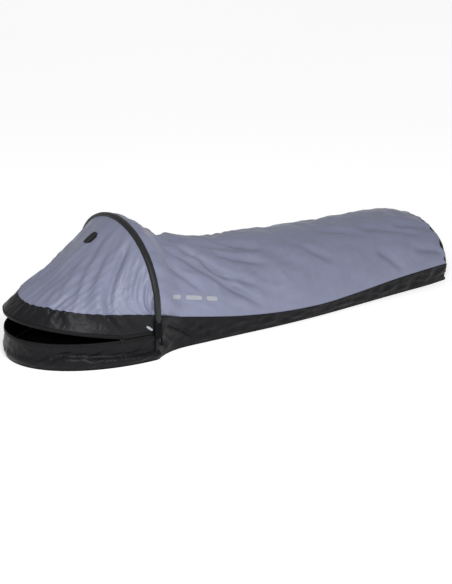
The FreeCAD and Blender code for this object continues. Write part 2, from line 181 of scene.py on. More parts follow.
def hoop_point(s):
    """y, z and heading at the length s along the hoop."""
    for length, y, z, heading, radius in HOOP:
        if s <= length or (length, y, z, heading, radius) == HOOP[-1]:
            break
        s -= length
    if radius is None:
        return y + s * math.sin(heading), z + s * math.cos(heading), heading
    end = heading + s / radius
    y += radius * (math.cos(heading) - math.cos(end))
    z += radius * (math.sin(end) - math.sin(heading))
    return y, z, end


def arch_point(low_z, v):
    """y and z on the hoop's line above low_z, v from 0 on the right to 1 on the left."""
    low = (low_z - PIVOT_Z) / math.cos(LEG_LEAN)
    y, z, _ = hoop_point(low + (HOOP_LENGTH - 2 * low) * v)
    return y, z


def canopy_point(x, v):
    """A point of the canopy: v runs from the right seam, 0, over the top to the left seam, 1."""
    half, top, seam = body_at(max(x, HOOP_X))
    u = math.pi * v
    y = -(half + FLARE) * math.cos(u)
    z = seam + (top - seam) * math.sin(u)
    hoop_y, hoop_z = arch_point(body_at(HOOP_X)[2], v)
    mix = smooth((x - HOOP_X) / HOOP_EASE)
    y = hoop_y + (y - hoop_y) * mix
    widest = EDGE_HALF_WIDTH + 0.05 * smooth((z - body_at(HOOP_X)[2]) / 0.08)
    return x, max(-widest, min(widest, y)), hoop_z + (z - hoop_z) * mix


def wall_point(side, x, h):
    """A point of a tub wall: h runs from the floor, 0, to the seam, 1."""
    half, _, _ = body_at(x)
    _, edge_y, edge_z = canopy_point(x, 0.0)
    return x, side * (half + (0.0012 - edge_y - half) * h), FLOOR_GAP + (edge_z - 0.001) * h


def level_point(lvl, t, inset=0.0):
    """A point of a level: a line round the head that is an ellipse in plan and climbs ahead of bend_x."""
    depth, z, bend_x, rise = lvl
    x = HOOP_X - (depth - inset) * math.cos(t)
    y = (HEAD_HALF_WIDTH - inset) * math.sin(t)
    return np.array((x, y, z + rise * max(0.0, bend_x - x)))


def flat(z):
    return HEAD_DEPTH, z, HOOP_X, 0.0


def rim(z):
    return HEAD_DEPTH, z, ZIP_OPEN_X, RIM_RISE


BAND_TOP = (BAND_TOP_DEPTH, BAND_TOP_Z, HOOP_X - 0.016, BAND_TOP_RISE)


# ---- meshes
def make_object(name, points, faces, material=None):
    mesh = bpy.data.meshes.new(name)
    mesh.from_pydata([tuple(p) for p in points], [], faces)
    mesh.update()
    mesh.shade_smooth()
    obj = bpy.data.objects.new(name, mesh)
    bpy.context.scene.collection.objects.link(obj)
    if material:
        mesh.materials.append(material)
    return obj


def grid_faces(rows, cols, ring=False):
    """Faces between neighbouring points; a ring also joins its last column to its first."""
    faces = []
    for i in range(rows - 1):
        for j in range(cols if ring else cols - 1):
            k = (j + 1) % cols
            faces.append((i * cols + j, i * cols + k, (i + 1) * cols + k, (i + 1) * cols + j))
    return faces


def store_cloth(obj, places):
    """Keep each vertex's place on the flat cloth, in metres, for the weave."""
    attribute = obj.data.attributes.new("cloth", "FLOAT_VECTOR", "POINT")
    attribute.data.foreach_set("vector", places.reshape(-1).astype(np.float32))


def sheet_object(name, grid):
    """A sheet of cloth through a grid of points, with its outer face away from the sack."""
    rows, cols = grid.shape[:2]
    obj = make_object(name, grid.reshape(-1, 3), grid_faces(rows, cols))
    along = np.zeros((rows, cols))
    across = np.zeros((rows, cols))
    along[1:] = np.cumsum(np.linalg.norm(np.diff(grid, axis=0), axis=2), axis=0)
    across[:, 1:] = np.cumsum(np.linalg.norm(np.diff(grid, axis=1), axis=2), axis=1)
    across -= across[:, -1:] / 2
    store_cloth(obj, np.stack([along, across, np.zeros_like(along)], axis=-1))
    facing = 0.0
    for polygon in obj.data.polygons:
        centre = polygon.center
        out = Vector((min(0.0, centre.x - HOOP_X), centre.y, centre.z - 0.05))
        facing += polygon.normal.dot(out) * polygon.area
    if facing < 0:
        obj.data.flip_normals()
    return obj


def face_towards(obj, direction):
    """Turn the mesh inside out if its faces, on the whole, look away from a direction."""
    if sum(p.normal.dot(direction) * p.area for p in obj.data.polygons) < 0:
        obj.data.flip_normals()


def face_outwards(obj, polygon, middle):
    """Turn the mesh inside out if one of its faces looks towards the middle."""
    if polygon.normal.dot(polygon.center - middle) < 0:
        obj.data.flip_normals()


def mesh_points(mesh):
    co = np.zeros(len(mesh.vertices) * 3)
    mesh.vertices.foreach_get("co", co)
    return co.reshape(-1, 3)


def set_coordinates(obj, co):
    obj.data.vertices.foreach_set("co", np.asarray(co, np.float32).reshape(-1))
    obj.data.update()


def apply_modifiers(obj):
    graph = bpy.context.evaluated_depsgraph_get()
    mesh = bpy.data.meshes.new_from_object(obj.evaluated_get(graph))
    old = obj.data
    obj.modifiers.clear()
    obj.data = mesh
    bpy.data.meshes.remove(old)


def finish_sheet(obj, outer, inner, smoothing=1):
    """Subdivide the sheet and give it its thickness, with the inner face in its own material."""
    obj.data.materials.append(outer)
    obj.data.materials.append(inner)
    if smoothing:
        subdivide = obj.modifiers.new("smoother", "SUBSURF")
        subdivide.levels = smoothing
        subdivide.boundary_smooth = "PRESERVE_CORNERS"
    thick = obj.modifiers.new("thickness", "SOLIDIFY")
    thick.thickness = CLOTH
    thick.offset = -1
    thick.material_offset = 1
    apply_modifiers(obj)


# ---- folds and simulation
def ripple(place, wavelength, seed):
    """Smooth noise from -1 to 1 whose bumps are about wavelength apart."""
    return noise.noise(Vector((place[0] / wavelength, place[1] / wavelength, seed)))


def crumple(place, wavelength, seed):
    """Sharp-edged noise, as creased cloth has, from 0 to 1."""
    value = 0.0
    weight = 1.0
    for octave in range(3):
        value += weight * (1 - abs(ripple(place, wavelength, seed + 7.3 * octave)) * 2) ** 3
        weight *= 0.5
        wavelength *= 0.55
    return value / 1.75


def fold_depth(place, start, end, width):
    """1 on the line of a fold, falling to 0 beside it and towards its ends."""
    ax, ay = start
    dx, dy = end[0] - ax, end[1] - ay
    length = dx * dx + dy * dy
    t = ((place[0] - ax) * dx + (place[1] - ay) * dy) / length
    if t < -0.05 or t > 1.05:
        return 0.0
    clamped = min(1.0, max(0.0, t))
    away = math.hypot(place[0] - ax - dx * clamped, place[1] - ay - dy * clamped)
    ends = smooth(min(t + 0.05, 1.05 - t) / 0.3)
    return ends * math.exp(-((away / width) ** 2))


CLOTH_SETTINGS = {
    "quality": 6,
    "mass": 0.12,
    "air_damping": 2.0,
    "tension_stiffness": 18,
    "compression_stiffness": 18,
    "shear_stiffness": 6,
    "vertex_group_mass": "pinned",
    "use_pressure": True,
}
sheets_to_settle = []


def prepare_to_settle(obj, cols, relief, slack, puff, limit, bending=0.06):
    """Raise a grid's folds and pin its border, ready for the simulation that all sheets share.

    Relief gives the height of a fold at a row and column as two factors. Slack is the cloth's size
    along x, y and z as a share of its shape. Limit is how far a point may move.
    """
    co = mesh_points(obj.data)
    outward = np.zeros(co.size)
    obj.data.vertex_normals.foreach_get("vector", outward)
    outward = outward.reshape(-1, 3)
    for k in range(len(co)):
        first, second = relief(*divmod(k, cols), co[k])
        co[k] += outward[k] * first * second
    set_coordinates(obj, co)
    co = mesh_points(obj.data)
    middle = (co.min(0) + co.max(0)) / 2
    obj.shape_key_add(name="Basis")
    spare = obj.shape_key_add(name="spare")
    rest = middle + (co - middle) * np.array(slack)
    spare.data.foreach_set("co", rest.astype(np.float32).reshape(-1))
    spare.value = 0
    index = np.arange(len(co)).reshape(-1, cols)
    border = np.unique(np.concatenate([index[0], index[-1], index[:, 0], index[:, -1]]))
    obj.vertex_groups.new(name="pinned").add(border.tolist(), 1.0, "REPLACE")
    cloth = obj.modifiers.new("settle", "CLOTH")
    for name, value in CLOTH_SETTINGS.items():
        setattr(cloth.settings, name, value)
    cloth.settings.bending_stiffness = bending
    cloth.settings.rest_shape_key = spare
    cloth.settings.effector_weights.gravity = 0
    cloth.settings.uniform_pressure_force = puff
    cloth.collision_settings.use_collision = False
    sheets_to_settle.append((obj, co, limit))


def settle_sheets():
    """Let the sheets buckle between their pinned edges, and keep each point within its limit."""
    scene = bpy.context.scene
    for step in range(SIM_FRAMES):
        scene.frame_set(step + 1)
    graph = bpy.context.evaluated_depsgraph_get()
    settled = [mesh_points(obj.evaluated_get(graph).data) for obj, _, _ in sheets_to_settle]
    for (obj, co, limit), moved in zip(sheets_to_settle, settled):
        obj.modifiers.clear()
        obj.shape_key_clear()
        obj.vertex_groups.clear()
        shift = moved - co
        far = np.linalg.norm(shift, axis=1, keepdims=True)
        shift *= limit * np.tanh(far / limit) / np.maximum(far, 1e-9)
        set_coordinates(obj, co + shift)
    scene.frame_set(1)


# ---- materials
class Shading:
    """A new material, and short ways to add nodes to it. In an input's name _ stands for a space."""

    def __init__(self, name):
        self.material = bpy.data.materials.new(name)
        self.material.use_nodes = True
        self.tree = self.material.node_tree
        self.shader = self.tree.nodes["Principled BSDF"]
        self.place = self.node("TexCoord").outputs["Object"]

    def set(self, socket, value):
        if isinstance(value, bpy.types.NodeSocket):
            self.tree.links.new(value, socket)
        else:
            socket.default_value = value

    def feed(self, node, **values):
        for name, value in values.items():
            self.set(node.inputs[name.replace("_", " ")], value)
        return node

    def node(self, kind, **values):
        return self.feed(self.tree.nodes.new("ShaderNode" + kind), **values)

    def math(self, operation, a, b=None):
        node = self.node("Math")
        node.operation = operation
        self.set(node.inputs[0], a)
        if b is not None:
            self.set(node.inputs[1], b)
        return node.outputs[0]

    def noise(self, vector, scale, detail=3.0, roughness=0.5):
        node = self.node("TexNoise", Vector=vector, Scale=scale, Detail=detail, Roughness=roughness)
        return node.outputs["Fac"]

    def ramp(self, value, low, high, stops=(0.0, 1.0)):
        node = self.node("ValToRGB", Fac=value)
        for element, stop, colour in zip(node.color_ramp.elements, stops, (low, high)):
            element.position = stop
            element.color = (*colour, 1)
        return node.outputs["Color"]

    def mottle(self, value, colour, spread):
        """The colour, darker where value is low and lighter where it is high."""
        dark = tuple(c * (1 - spread) for c in colour)
        light = tuple(min(1.0, c * (1 + spread)) for c in colour)
        return self.ramp(value, dark, light, (0.3, 0.7))

    def roughen(self, value, low, high):
        rough = self.node("MapRange", Value=value, To_Min=max(0.05, low), To_Max=min(1.0, high))
        self.feed(self.shader, Roughness=rough.outputs["Result"])

    def bump(self, height, strength, distance, **under):
        node = self.node("Bump", Height=height, Strength=strength, Distance=distance, **under)
        return node.outputs["Normal"]

    def threads(self, vector, pitch):
        """Waves of one pitch along the cloth and across it."""
        split = self.node("SeparateXYZ", Vector=vector)
        waves = []
        for axis in ("X", "Y"):
            turned = self.math("MULTIPLY", split.outputs[axis], 2 * math.pi / pitch)
            waves.append(self.math("SINE", turned))
        return waves

    def creases(self):
        """Height of fine crinkles: a warped net of sharp lines, with soft noise between them."""
        swirl = self.node("TexNoise", Vector=self.place, Scale=12.0)
        bend = self.node("Mix", Factor=0.12)
        bend.data_type = "VECTOR"
        self.set(bend.inputs[4], self.place)
        self.set(bend.inputs[5], swirl.outputs["Color"])
        net = self.node("TexVoronoi", Vector=bend.outputs[1], Scale=26.0)
        net.feature = "DISTANCE_TO_EDGE"
        soft = self.noise(self.place, 38.0, 4.0, 0.55)
        lines = self.math("MINIMUM", net.outputs["Distance"], 0.12)
        return self.math("ADD", self.math("MULTIPLY", lines, 4.0), soft)


def fabric(name, colour, spread=0.12, roughness=0.55, sheen=0.2, weave=0.0006, ripstop=0.0,
           bump=0.25, crinkle=0.0, place="cloth", shine=0.3):
    """Woven cloth: mottled colour, a plain weave, optional ripstop grid and fine crinkles."""
    look = Shading(name)
    vector = look.place
    if place == "cloth":
        source = look.node("Attribute")
        source.attribute_name = "cloth"
        vector = source.outputs["Vector"]
    tint = look.mottle(look.noise(look.place, 9.0, 5.0, 0.6), colour, spread)
    height = look.math("MULTIPLY", look.math("MULTIPLY", *look.threads(vector, weave)), 0.5)
    if ripstop:
        lines = look.math("MAXIMUM", *look.threads(vector, ripstop))
        lines = look.math("POWER", look.math("MAXIMUM", lines, 0.0), 24.0)
        height = look.math("ADD", height, lines)
        darker = look.node("Mix", Factor=look.math("MULTIPLY", lines, 0.35))
        darker.data_type = "RGBA"
        darker.blend_type = "MULTIPLY"
        look.set(darker.inputs[6], tint)
        look.set(darker.inputs[7], (0.78, 0.78, 0.8, 1))
        tint = darker.outputs[2]
    look.roughen(look.noise(look.place, 26.0, 4.0, 0.55), roughness - 0.09, roughness + 0.09)
    normal = look.bump(height, bump, 0.00018)
    if crinkle:
        normal = look.bump(look.creases(), crinkle, 0.004, Normal=normal)
    look.feed(look.shader, Base_Color=tint, Normal=normal, Sheen_Weight=sheen, Sheen_Roughness=0.4,
              Specular_IOR_Level=shine)
    return look.material


def hard(name, colour, roughness, metallic=0.0, scratches=60.0, bump=0.15, shine=0.5):
    """Moulded plastic or metal with a fine grain, worn a little unevenly."""
    look = Shading(name)
    cloud = look.noise(look.place, 30.0, 4.0, 0.6)
    look.roughen(cloud, roughness - 0.08, roughness + 0.1)
    grain = look.noise(look.place, scratches * 20, 6.0, 0.65)
    look.feed(look.shader, Base_Color=look.mottle(cloud, colour, 0.1), Metallic=metallic,
              Specular_IOR_Level=shine, Normal=look.bump(grain, bump, 0.0001))
    return look.material


CANOPY = fabric("canopy_cloth", (0.192, 0.205, 0.292), 0.05, 0.42, 0.06, ripstop=0.005, crinkle=0.20)
# Inner faces of the sheets, near black: painted shade, so that the inside of the sack reads dark.
INSIDE_SHADE = fabric("painted_inside_shade", (0.004, 0.004, 0.005), 0.2, 0.8, 0.0, bump=0.1, shine=0.1)
TUB = fabric("tub_cloth", (0.0055, 0.0054, 0.0068), 0.2, 0.40, 0.01, ripstop=0.005, crinkle=0.35,
             shine=0.14)
BAND = fabric("band_cloth", (0.0080, 0.0082, 0.0102), 0.2, 0.42, 0.02, ripstop=0.005, crinkle=0.25,
              shine=0.16)
SLEEVE = fabric("sleeve_cloth", (0.0110, 0.0115, 0.0125), 0.15, 0.5, 0.03, weave=0.0009, bump=0.4)
TAPE = fabric("zip_tape_cloth", (0.0045, 0.0045, 0.005), 0.2, 0.6, 0.01, weave=0.0008, bump=0.5,
              shine=0.15)
WEBBING = fabric("webbing_cloth", (0.0030, 0.0034, 0.0034), 0.2, 0.7, 0.0, weave=0.0016, bump=0.7,
                 place="object", shine=0.07)
THREAD = fabric("thread", (0.016, 0.0165, 0.019), 0.2, 0.6, 0.05, weave=0.0003, place="object")
PALE_PRINT = fabric("pale_print", (0.32, 0.33, 0.36), 0.08, 0.45, 0.0, weave=0.0006)
COIL = hard("zip_coil_nylon", (0.006, 0.006, 0.0065), 0.4, shine=0.2)
ZIP_METAL = hard("zip_painted_metal", (0.006, 0.006, 0.007), 0.45, bump=0.2, shine=0.2)
POLE = hard("pole_acetal", (0.62, 0.62, 0.60), 0.4)
TIP = hard("tip_nylon", (0.025, 0.025, 0.026), 0.45)
FERRULE = hard("ferrule_aluminium", (0.72, 0.73, 0.75), 0.3, 1.0, scratches=90.0)
CORD = fabric("elastic_cord", (0.04, 0.04, 0.04), 0.25, 0.7, 0.2, weave=0.0007, bump=0.8, place="object")
FILM = hard("seam_film", (0.30, 0.31, 0.33), 0.42)


# ---- canopy
CANOPY_ROWS = 156
CANOPY_COLS = 73
ARC = 0.80              # about how long the canopy is over its arch, seam to seam

# folds that fan out from the top of the hoop: start x, start v, end x, end v, depth, width
CANOPY_FOLDS = [
    (-0.46, 0.53, -0.15, 0.17, 0.011, 0.016),
    (-0.47, 0.38, -0.10, 0.09, 0.010, 0.016),
    (-0.42, 0.48, 0.02, 0.35, 0.009, 0.018),
    (-0.20, 0.50, 0.05, 0.35, 0.008, 0.015),
    (-0.22, 0.36, 0.03, 0.27, 0.008, 0.015),
    (-0.19, 0.17, -0.04, 0.04, 0.007, 0.013),
    (-0.48, 0.27, -0.30, 0.12, 0.007, 0.014),
    (-0.30, 0.28, -0.05, 0.16, 0.006, 0.015),
    (0.14, 0.42, 0.36, 0.20, 0.006, 0.020),
    (0.30, 0.47, 0.62, 0.30, 0.008, 0.022),
    (0.52, 0.40, 0.86, 0.24, 0.009, 0.022),
    (0.58, 0.22, 0.70, 0.04, 0.008, 0.020),
    (0.72, 0.36, 0.98, 0.28, 0.009, 0.020),
    (0.76, 0.16, 0.97, 0.10, 0.007, 0.018),
]


def canopy_relief(x, v):
    """How far the cloth stands out from its smooth shape before it settles."""
    depth = 0.0
    place = (x, v * ARC)
    for sx, sv, ex, ev, deep, width in CANOPY_FOLDS:
        depth -= 2.2 * deep * fold_depth(place, (sx, sv * ARC), (ex, ev * ARC), width)
        mirrored = ((sx + 0.05, (1 - sv) * ARC), (ex - 0.03, (1 - ev) * ARC))
        depth -= 1.8 * deep * fold_depth(place, *mirrored, width)
    fan = min(v, 1 - v) * ARC / (0.55 + 0.45 * smooth((x - HOOP_X) / 0.5)) + 0.42 * (x - HOOP_X)
    depth += 0.009 * ripple((0.30 * x, fan * 1.1), 0.062, 3.0) * (1 - 0.55 * smooth((x - 0.05) / 0.3))
    depth += 0.005 * ripple((0.25 * x, fan * 1.1), 0.028, 4.0) * smooth((-0.12 - x) / 0.15)
    depth += 0.006 * ripple((0.5 * x + 0.2 * v, v * ARC * 1.3 - 0.25 * x), 0.085, 8.0)
    depth += 0.005 * (crumple(place, 0.16, 11.0) - 0.4)
    middle = math.exp(-(((x - 0.02) / 0.24) ** 2)) * smooth(min(v, 1 - v) / 0.12)
    slanted = (0.8 * x + 0.5 * place[1], 1.6 * place[1] - 0.6 * x)
    depth += 0.008 * middle * (crumple(slanted, 0.07, 13.0) - 0.4)
    edge = smooth(min(v, 1 - v) / 0.06) * smooth((x - HOOP_X) / 0.03)
    edge *= smooth((FOOT_SEAM_X - x) / 0.03)
    tuck = 0.006 * smooth((0.035 - min(v, 1 - v)) / 0.02) * smooth((-0.42 - x) / 0.06)
    return depth * edge - tuck


def shape_canopy():
    grid = np.zeros((CANOPY_ROWS, CANOPY_COLS, 3))
    for i in range(CANOPY_ROWS):
        x = HOOP_X + (FOOT_SEAM_X - HOOP_X) * i / (CANOPY_ROWS - 1)
        for j in range(CANOPY_COLS):
            grid[i, j] = canopy_point(x, j / (CANOPY_COLS - 1))

    def relief(i, j, _):
        return canopy_relief(grid[i, j, 0], j / (CANOPY_COLS - 1)), 1.0

    obj = sheet_object("canopy", grid)
    prepare_to_settle(obj, CANOPY_COLS, relief, (0.99, 1.035, 1.035), 0.25, 0.020)
    return obj


def scallop_foot_seam(obj):
    """The canopy's foot edge is gathered between its stitches, so it draws back in scallops."""
    co = mesh_points(obj.data).reshape(CANOPY_ROWS, CANOPY_COLS, 3)
    for i in range(CANOPY_ROWS - 5, CANOPY_ROWS):
        share = (i - CANOPY_ROWS + 6) / 5
        for j in range(CANOPY_COLS):
            v = j / (CANOPY_COLS - 1)
            back = abs(math.sin(math.pi * 9 * v + 0.6 * math.sin(17 * v))) ** 3
            co[i, j, 0] -= 0.016 * share * back * smooth(min(v, 1 - v) / 0.05)
    set_coordinates(obj, co.reshape(-1, 3))


# ---- tub walls, head wall, floor, foot
# creases in the tub wall behind the pocket: start x, start z, end x, end z, depth
WALL_CREASES = [
    (-0.535, 0.150, -0.425, 0.085, 0.011),
    (-0.430, 0.088, -0.375, 0.045, 0.010),
    (-0.520, 0.105, -0.460, 0.050, 0.008),
    (-0.360, 0.095, -0.290, 0.035, 0.006),
    (-0.545, 0.070, -0.500, 0.030, 0.007),
]
WALL_ROWS = 150
WALL_COLS = 13
WALL_START = HOOP_X - 0.008


def shape_wall(name, side):
    grid = np.zeros((WALL_ROWS, WALL_COLS, 3))
    for i in range(WALL_ROWS):
        x = WALL_START + (FOOT_SEAM_X + 0.004 - WALL_START) * i / (WALL_ROWS - 1)
        for j in range(WALL_COLS):
            h = j / (WALL_COLS - 1)
            _, y, z = wall_point(side, max(x, HOOP_X), h)
            grid[i, j] = (x, y, z)

    def relief(_, j, point):
        x, _, z = point
        h = j / (WALL_COLS - 1)
        fold = 0.008 * ripple((x + 0.7 * z, 2.2 * z - 0.25 * x), 0.05, 20.0 + side)
        fold += 0.006 * smooth((-0.2 - x) / 0.3) * ripple((x + 1.2 * z, 0.1), 0.035, 5.0)
        fold += 0.003 * (crumple((x, z), 0.09, 31.0 + side) - 0.4)
        for sx, sz, ex, ez, deep in WALL_CREASES:
            fold -= 1.7 * deep * fold_depth((x, z), (sx, sz), (ex, ez), 0.008)
        return fold, smooth(min(h, 1 - h) / 0.25)

    obj = sheet_object("tub_wall_cloth_" + name, grid)
    prepare_to_settle(obj, WALL_COLS, relief, (1.02, 1.0, 1.07), 0.3, 0.010)
    return obj


HEAD_COLS = 13
HEAD_ROWS = 121


def shape_head_wall():
    """Head end of the tub: crumpled, with one long crease and a bulge below it."""
    grid = np.zeros((HEAD_ROWS, HEAD_COLS, 3))
    reach = math.acos(-0.012 / HEAD_DEPTH)
    for i in range(HEAD_ROWS):
        t = -reach + 2 * reach * i / (HEAD_ROWS - 1)
        for j in range(HEAD_COLS):
            h = j / (HEAD_COLS - 1)
            grid[i, j] = level_point(flat(FLOOR_GAP + (LIP_Z - FLOOR_GAP) * h), t)

    def relief(i, j, _):
        h = j / (HEAD_COLS - 1)
        t = -reach + 2 * reach * i / (HEAD_ROWS - 1)
        arc = t * 0.42
        wander = 0.46 + 0.16 * math.exp(-(((abs(t) - 0.70) / 0.25) ** 2)) + 0.04 * math.sin(5 * t)
        reach_of_crease = smooth((abs(t) - 0.45) / 0.3) * (0.6 if t > 0 else 1.0)
        crease = math.exp(-(((h - wander) / 0.075) ** 2)) * reach_of_crease
        bulge = math.sin(math.pi * min(1.0, h / wander)) * 0.007
        dent = smooth((h - wander) / 0.15) * smooth((0.95 - h) / 0.3) * reach_of_crease
        fold = bulge - 0.013 * crease - 0.005 * dent
        fold += 0.006 * dent * ripple((arc * 1.2 - 0.1 * h, h * 0.12), 0.030, 44.0)
        fold += 0.007 * ripple((arc * 1.4 + 0.3 * h, h * 0.05), 0.045, 41.0)
        fold += 0.004 * (crumple((arc, h * 0.1), 0.07, 43.0) - 0.4)
        return fold, smooth(min(h, 1 - h) / 0.2)

    obj = sheet_object("head_wall_cloth", grid)
    prepare_to_settle(obj, HEAD_COLS, relief, (1.01, 1.01, 1.07), 0.3, 0.009)
    return obj


FOOT_ROWS = 26
FOOT_COLS = 61


def shape_foot():
    """Rounded black foot: from the canopy's and tub's edge round to the flat end."""
    half, top, _ = body_at(FOOT_SEAM_X)
    low = 0.0024
    outline = [(-half, low)]
    for j in range(1, FOOT_COLS - 1):
        _, y, z = canopy_point(FOOT_SEAM_X, (j - 1) / (FOOT_COLS - 3))
        outline.append((y, z))
    outline.append((half, low))
    grid = np.zeros((FOOT_ROWS, FOOT_COLS, 3))
    turn_rows = 14
    for i in range(FOOT_ROWS):
        a = math.pi / 2 * min(1.0, i / (turn_rows - 1))
        across = 1 + (END_HALF_WIDTH / (half + FLARE) - 1) * (1 - math.cos(a))
        up = 1 + (END_TOP_Z / top - 1) * (1 - math.cos(a))
        x = FOOT_SEAM_X - 0.012 + (FOOT_X - FOOT_SEAM_X + 0.011) * math.sin(a)
        inward = max(0, i - turn_rows + 1) / (FOOT_ROWS - turn_rows)
        tuck = 1 - 0.010 * smooth(1 - i / 3)
        for j, (y, z) in enumerate(outline):
            ry = y * across * tuck * (1 - 0.96 * inward)
            rz = low + (z - low) * up * tuck
            if inward:
                rz = low + (rz - low) * (1 - 0.96 * inward)
            grid[i, j] = (x, ry, rz)

    def relief(i, j, _):
        v = j / (FOOT_COLS - 1)
        radial = ripple((math.cos(9 * v) + 4 * v, i * 0.02), 0.16, 51.0)
        fade = smooth(i / 5) * smooth(min(v, 1 - v) / 0.08)
        return fade, 0.004 * radial + 0.002 * ripple((v, i * 0.04), 0.1, 3.0) - 0.003

    obj = sheet_object("foot_end_cloth", grid)
    face_towards(obj, Vector((1, 0, 0)))
    prepare_to_settle(obj, FOOT_COLS, relief, (1.0, 1.02, 1.03), 0.1, 0.006, bending=0.4)
    return obj


def floor_half_width(x):
    if x < HOOP_X:
        return HEAD_HALF_WIDTH * math.sqrt(max(0.0, 1 - ((x - HOOP_X) / HEAD_DEPTH) ** 2))
    if x < FOOT_SEAM_X:
        return body_at(x)[0]
    half = body_at(FOOT_SEAM_X)[0]
    u = (x - FOOT_SEAM_X) / (FOOT_X - FOOT_SEAM_X)
    return half + (END_HALF_WIDTH - half) * (1 - math.sqrt(max(0.0, 1 - u * u)))


def make_floor():
    """Floor panel, with the shallow ripples of a sheet that nothing stretches."""
    xs = [HOOP_X - HEAD_DEPTH * math.cos(math.pi / 2 * k / 32) for k in range(32)]
    xs += [HOOP_X + (FOOT_SEAM_X - HOOP_X) * k / 76 for k in range(76)]
    end = FOOT_X - 0.001 - FOOT_SEAM_X
    xs += [FOOT_SEAM_X + end * math.sin(math.pi / 2 * k / 10) for k in range(11)]
    cols = 31
    grid = np.zeros((len(xs), cols, 3))
    for i, x in enumerate(xs):
        half = max(0.004, floor_half_width(x) + 0.0005)
        for j in range(cols):
            w = 2 * j / (cols - 1) - 1
            lift = 0.0016 * abs(ripple((x, w * half), 0.09, 61.0)) * smooth((1 - abs(w)) / 0.1)
            grid[i, j] = (x, w * half, 0.0014 + lift)
    obj = sheet_object("floor_cloth", grid)
    face_towards(obj, Vector((0, 0, 1)))
    # The floor's upper face, seen inside the sack, takes the near-black painted shade.
    finish_sheet(obj, INSIDE_SHADE, TUB, smoothing=0)
    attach(obj, "sack")
    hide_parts("floor_panel")


# ---- hood
HOOD_COLS = 137
BAND_ROWS = 8
PANEL_ROWS = 30
HOOD_BACK_X = HOOP_X - 0.006
BACK_X = HOOP_X - 0.008


def level_at(lvl, share, back_x=HOOD_BACK_X, inset=0.0):
    """The point at a share of the way round the head, right side 0, left side 1."""
    reach = math.acos((HOOP_X - back_x) / lvl[0])
    return level_point(lvl, reach * (2 * share - 1), inset)


BAND_CREASES = (0.148, 0.163, 0.330, 0.700, 0.842)


def pucker(share):
    """The seam between band and panel is gathered, so it steps up and down round the front."""
    step = abs(((share * 31 + 0.4 * math.sin(23 * share)) % 1.0) - 0.62) - 0.3
    return 0.012 * step * smooth((min(share, 1 - share) - 0.13) / 0.08)


def hood_relief(share, climb):
    """Folds that run from the zip up to the hoop, deepest near the band's seam."""
    lean = abs(share - 0.5) + 0.30 * climb
    side = 3.0 if share > 0.5 else 0.0
    fold = 0.024 * ripple((lean * 2.2 + side, climb * 0.10), 0.085, 71.0)
    fold *= smooth(abs(share - 0.5) / 0.04)
    fold += 0.006 * ripple((lean * 3.0 + side, climb * 0.15), 0.040, 72.0)
    fold -= 0.007
    front = smooth((share - 0.34) / 0.20) * smooth((0.90 - share) / 0.20)
    fold = fold * (1 - 0.6 * front) - 0.016 * front * math.sin(math.pi * climb)
    for place in BAND_CREASES:
        fold -= 0.007 * math.exp(-(((share - place) / 0.0045) ** 2)) * smooth((0.5 - climb) / 0.3)
    fold += 0.002 * (crumple((share * 1.3, climb * 0.4), 0.16, 73.0) - 0.4)
    flat_by_badge = math.exp(-(((share - 0.51) / 0.06) ** 2)) * smooth((climb - 0.45) / 0.2)
    return fold * (1 - 0.85 * flat_by_badge)


def shape_hood():
    """Band and panel settle as one sheet, so that their seam puckers the same on both."""
    rows = BAND_ROWS + PANEL_ROWS
    grid = np.zeros((rows, HOOD_COLS, 3))
    for j in range(HOOD_COLS):
        share = j / (HOOD_COLS - 1)
        low = level_at(rim(RIM_TAPE_TOP - 0.001), share)
        seam = level_at(BAND_TOP, share) + np.array((0, 0, pucker(share)))
        arch_y, arch_z = arch_point(BAND_TOP_Z + 0.002, share)
        top = np.array((HOOP_X - 0.004, arch_y, arch_z))
        for i in range(BAND_ROWS):
            grid[i, j] = low + (seam - low) * i / BAND_ROWS
        for i in range(PANEL_ROWS):
            grid[BAND_ROWS + i, j] = seam + (top - seam) * i / (PANEL_ROWS - 1)

    def relief(i, j, _):
        share = j / (HOOD_COLS - 1)
        inside = smooth(i / BAND_ROWS * 1.2) * smooth((rows - 1 - i) / 6)
        inside *= smooth(min(share, 1 - share) / 0.03)
        return hood_relief(share, i / (rows - 1)), inside

    obj = sheet_object("hood", grid)
    prepare_to_settle(obj, HOOD_COLS, relief, (0.985, 1.045, 1.0), -0.1, 0.012)
    return obj


def split_hood(obj):
    """Cut the settled hood along its seam into the black band and the grey panel."""
    co = mesh_points(obj.data).reshape(BAND_ROWS + PANEL_ROWS, HOOD_COLS, 3)
    bpy.data.objects.remove(obj)
    seam = co[BAND_ROWS].copy()
    inward = np.array((HOOP_X - 0.1, 0.0, 0.1)) - seam
    inward /= np.linalg.norm(inward, axis=1, keepdims=True)
    hem = seam + (co[BAND_ROWS + 1] - seam) * 0.6 + inward * 0.004
    band = sheet_object("hood_band_cloth", np.concatenate([co[:BAND_ROWS], seam[None], hem[None]]))
    panel = sheet_object("hood_cloth", co[BAND_ROWS:])
    return band, panel


def zip_tape(name, low, high, inset):
    """A narrow, slightly domed strip round the head between two levels."""
    rows, cols = 5, 150
    grid = np.zeros((rows, cols, 3))
    for j in range(cols):
        share = j / (cols - 1)
        a = level_at(low, share, BACK_X, inset)
        b = level_at(high, share, BACK_X, inset)
        out = np.array((a[0] - HOOP_X, a[1], 0))
        out /= np.linalg.norm(out)
        for i in range(rows):
            w = i / (rows - 1)
            swell = 0.0005 * math.sin(math.pi * w)
            swell += 0.0004 * ripple((share * 2, w * 0.1), 0.03, 81.0)
            grid[i, j] = a + (b - a) * w + out * swell
    obj = sheet_object(name, grid)
    finish_sheet(obj, TAPE, TAPE, smoothing=0)
    return obj


